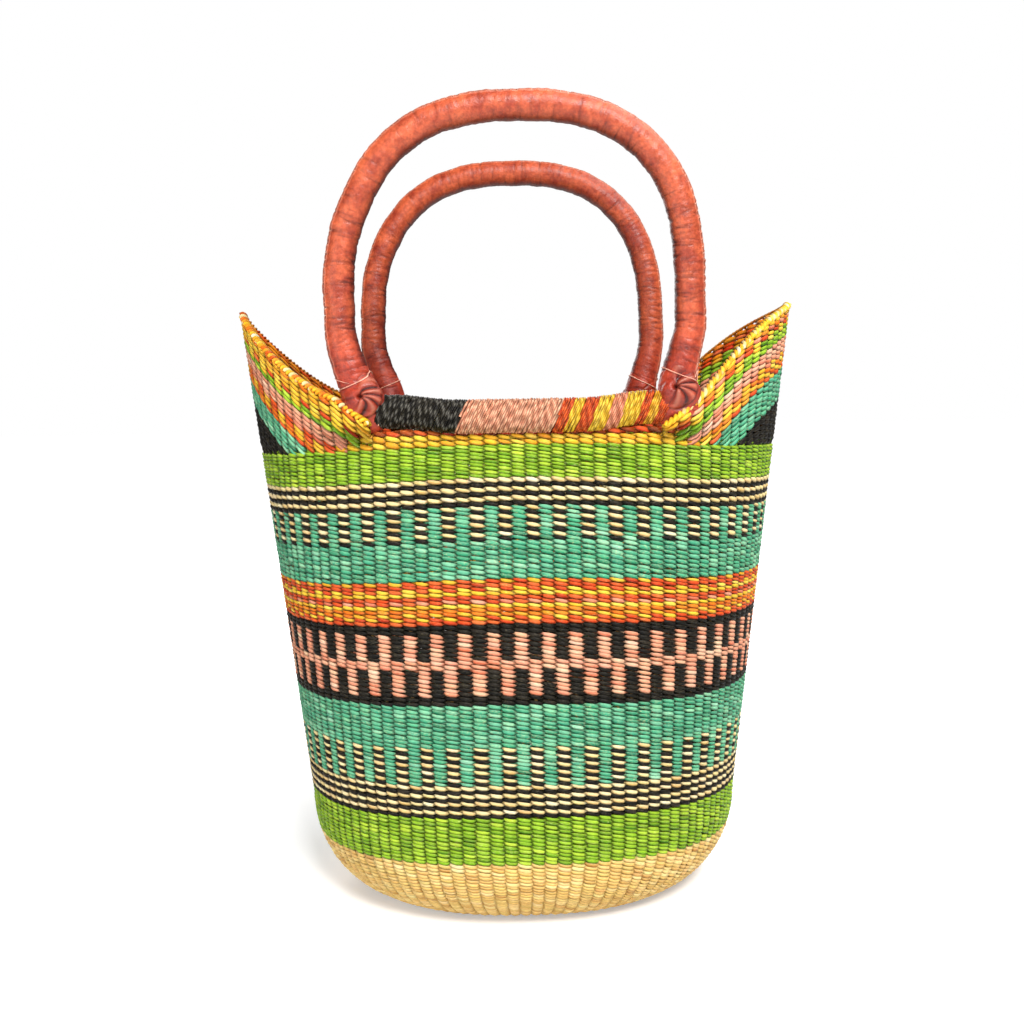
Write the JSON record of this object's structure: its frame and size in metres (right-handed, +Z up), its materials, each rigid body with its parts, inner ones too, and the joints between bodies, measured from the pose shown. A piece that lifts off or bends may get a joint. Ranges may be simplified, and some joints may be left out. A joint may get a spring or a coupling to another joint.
{
  "type": "woven shopping basket",
  "caption": "Oval twined-straw shopping basket with pointed ears at both ends, straw-wound rim rolls and two swinging leather-wrapped handles.",
  "frame": {"origin": "on the floor under the middle of the base", "axes": "+Z up; the front handle is at -Y, the rear handle at +Y, and the two ears point along +X and -X"},
  "size_m": [0.401, 0.22, 0.5429],
  "materials": {
    "natural_straw": "dry twined straw",
    "cream_black_straw": "rows of cream and black straw by turns",
    "green_straw": "dyed twined straw",
    "teal_straw": "dyed twined straw",
    "lattice_straw": "columns of teal and of cream and black straw by turns",
    "orange_straw": "dyed twined straw, orange-red and yellow",
    "gold_straw": "dyed twined straw",
    "flame_straw": "wound straw, orange-red and yellow by turns",
    "pink_straw": "dyed straw, salmon pink",
    "black_straw": "dyed straw, black",
    "twisted_grass": "twisted grass",
    "red_leather": "smooth goatskin, satin",
    "pale_leather": "raw goatskin lace"
  },
  "bodies": {
    "basket": {"woven_base": "natural_straw", "natural_band": "natural_straw", "lower_green_band": "green_straw", "lower_ticking_band": "cream_black_straw", "lower_lattice_band": "lattice_straw", "lower_teal_band": "teal_straw", "black_pink_band": "pink_straw", "orange_band": "orange_straw", "upper_teal_band": "teal_straw", "upper_lattice_band": "lattice_straw", "upper_ticking_band": "cream_black_straw", "upper_green_band": "green_straw", "front_rim_band": "gold_straw", "rear_rim_band": "gold_straw", "right_ear_gold_stripe": "gold_straw", "right_ear_green_stripe": "green_straw", "right_ear_pink_stripe": "pink_straw", "right_ear_orange_stripe": "orange_straw", "right_ear_teal_stripe": "teal_straw", "right_ear_black_stripe": "black_straw", "right_ear_braid": "gold_straw", "left_ear_gold_stripe": "gold_straw", "left_ear_green_stripe": "green_straw", "left_ear_pink_stripe": "pink_straw", "left_ear_orange_stripe": "orange_straw", "left_ear_teal_stripe": "teal_straw", "left_ear_black_stripe": "black_straw", "left_ear_braid": "gold_straw", "warp_stakes": "twisted_grass", "front_roll_core": "twisted_grass", "front_black_winding": "black_straw", "front_pink_winding": "pink_straw", "front_flame_winding": "flame_straw", "rear_roll_core": "twisted_grass", "rear_black_winding": "black_straw", "rear_pink_winding": "pink_straw", "rear_flame_winding": "flame_straw"},
    "front_handle": {"front_handle_core": "twisted_grass", "front_handle_leather": "red_leather", "front_handle_seam": "red_leather", "front_left_cuff": "red_leather", "front_left_knot": "red_leather", "front_left_thong": "pale_leather", "front_right_cuff": "red_leather", "front_right_knot": "red_leather", "front_right_thong": "pale_leather"},
    "rear_handle": {"rear_handle_core": "twisted_grass", "rear_handle_leather": "red_leather", "rear_handle_seam": "red_leather", "rear_left_cuff": "red_leather", "rear_left_knot": "red_leather", "rear_left_thong": "pale_leather", "rear_right_cuff": "red_leather", "rear_right_knot": "red_leather", "rear_right_thong": "pale_leather"}
  },
  "joints": [
    {"name": "front_handle_swing", "type": "hinge", "parent": "basket", "child": "front_handle", "pos_m": [0.003, -0.088, 0.337], "axis": [1, 0, 0], "range_deg": [-24, 35]},
    {"name": "rear_handle_swing", "type": "hinge", "parent": "basket", "child": "rear_handle", "pos_m": [-0.0015, 0.088, 0.337], "axis": [-1, 0, 0], "range_deg": [-24, 35]}
  ]
}
